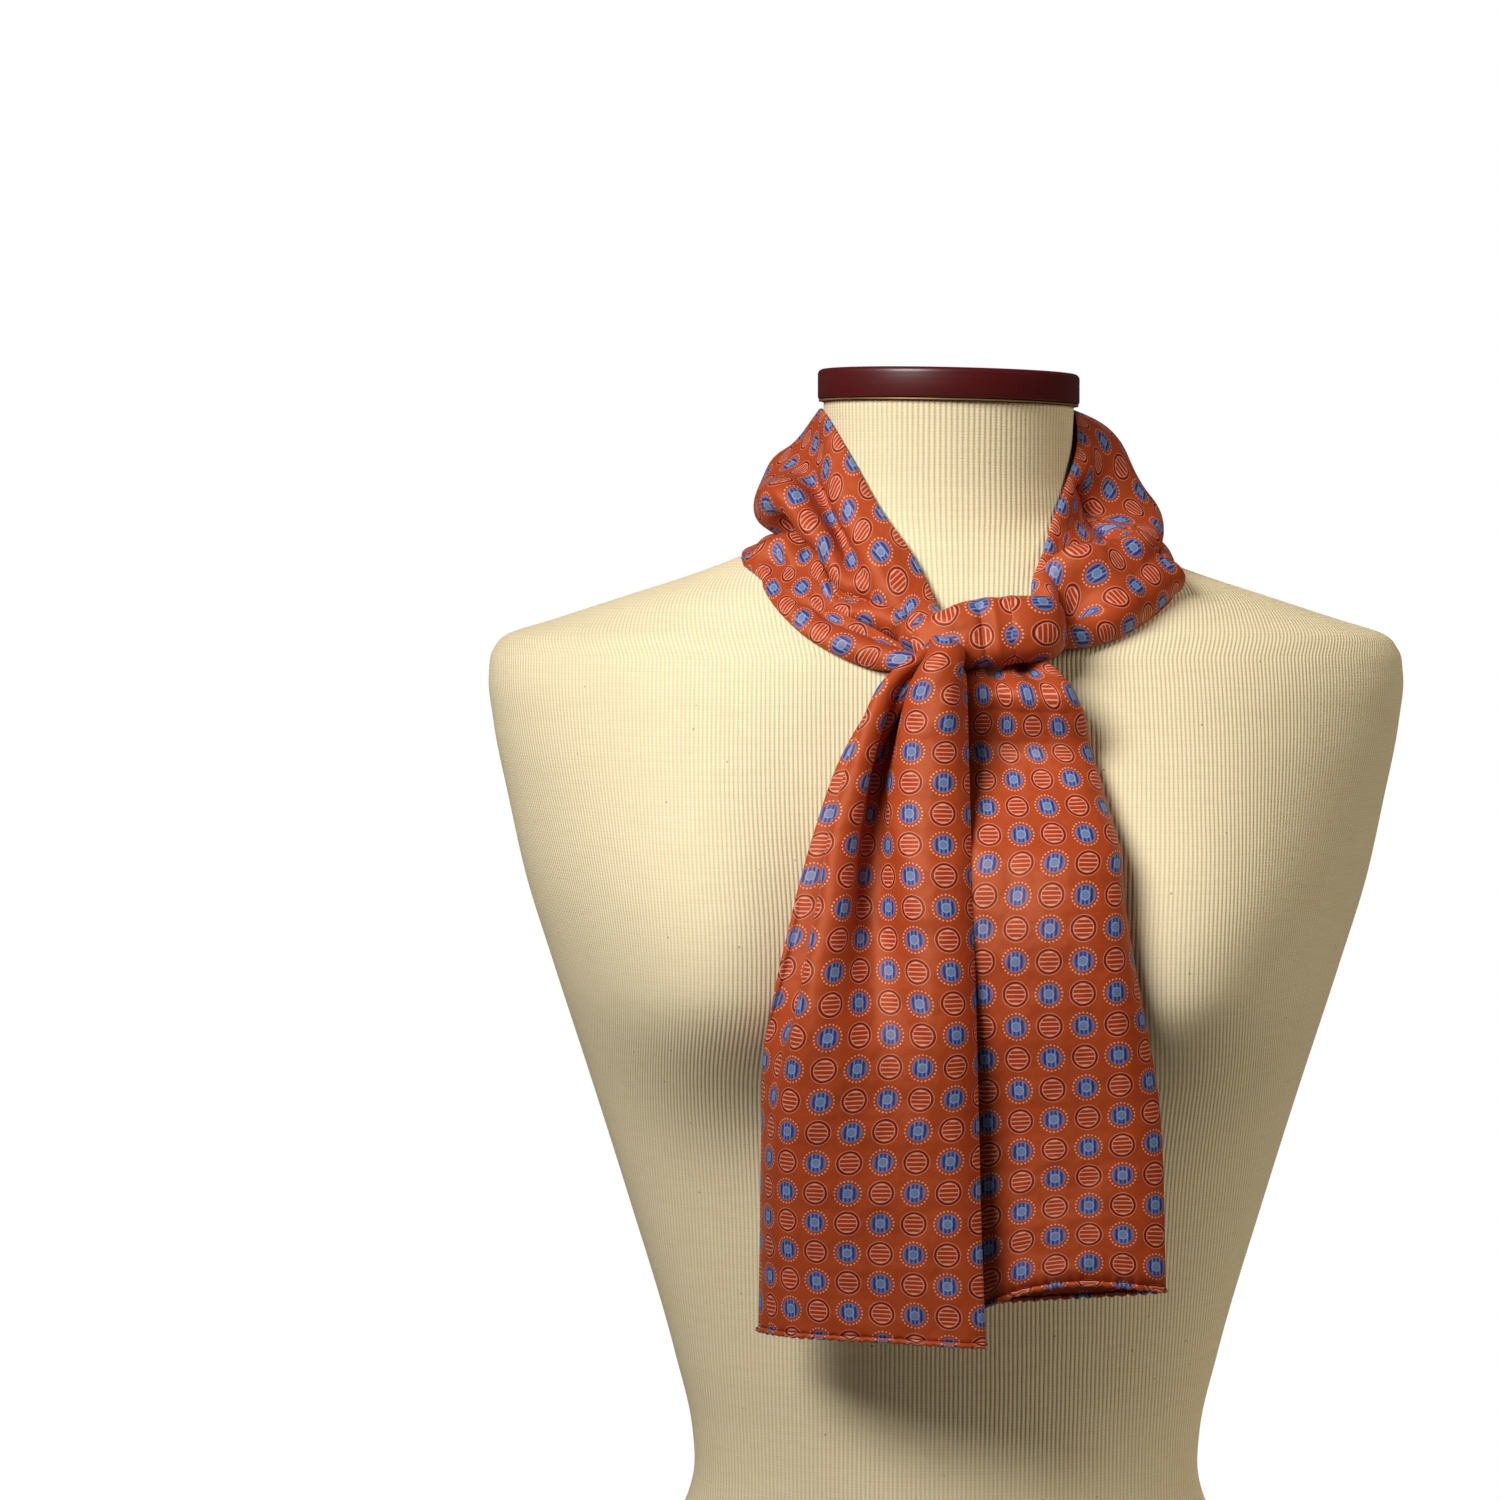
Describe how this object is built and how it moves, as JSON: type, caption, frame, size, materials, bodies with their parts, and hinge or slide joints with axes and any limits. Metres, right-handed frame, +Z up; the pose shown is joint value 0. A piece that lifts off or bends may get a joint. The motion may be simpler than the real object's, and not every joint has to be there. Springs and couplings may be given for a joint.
{
  "type": "silk neck scarf on a limbless dress form",
  "caption": "Printed silk foulard scarf worn once round the neck and tied in a loose knot with hanging ends, resting on a limbless knit-covered dress form.",
  "frame": {"origin": "centre of the dress form's flat base", "axes": "+Z up the form, -Y the front, where the knot and the hanging ends are, +X the form's own left side, on the viewer's right"},
  "size_m": [0.408, 0.2816, 0.8184],
  "materials": {
    "jersey": "fine rib-knit cotton jersey, matt",
    "lacquered_wood": "dark red lacquer, glossy",
    "brass": "satin",
    "printed_silk": "printed silk twill, soft satin sheen"
  },
  "bodies": {
    "root": {"form_body": "jersey", "neck_cap": "lacquered_wood", "cap_trim": "brass", "wrap_left": "printed_silk", "wrap_back": "printed_silk", "wrap_right": "printed_silk", "knot_band": "printed_silk", "tail_left": "printed_silk", "tail_right": "printed_silk"}
  },
  "joints": []
}
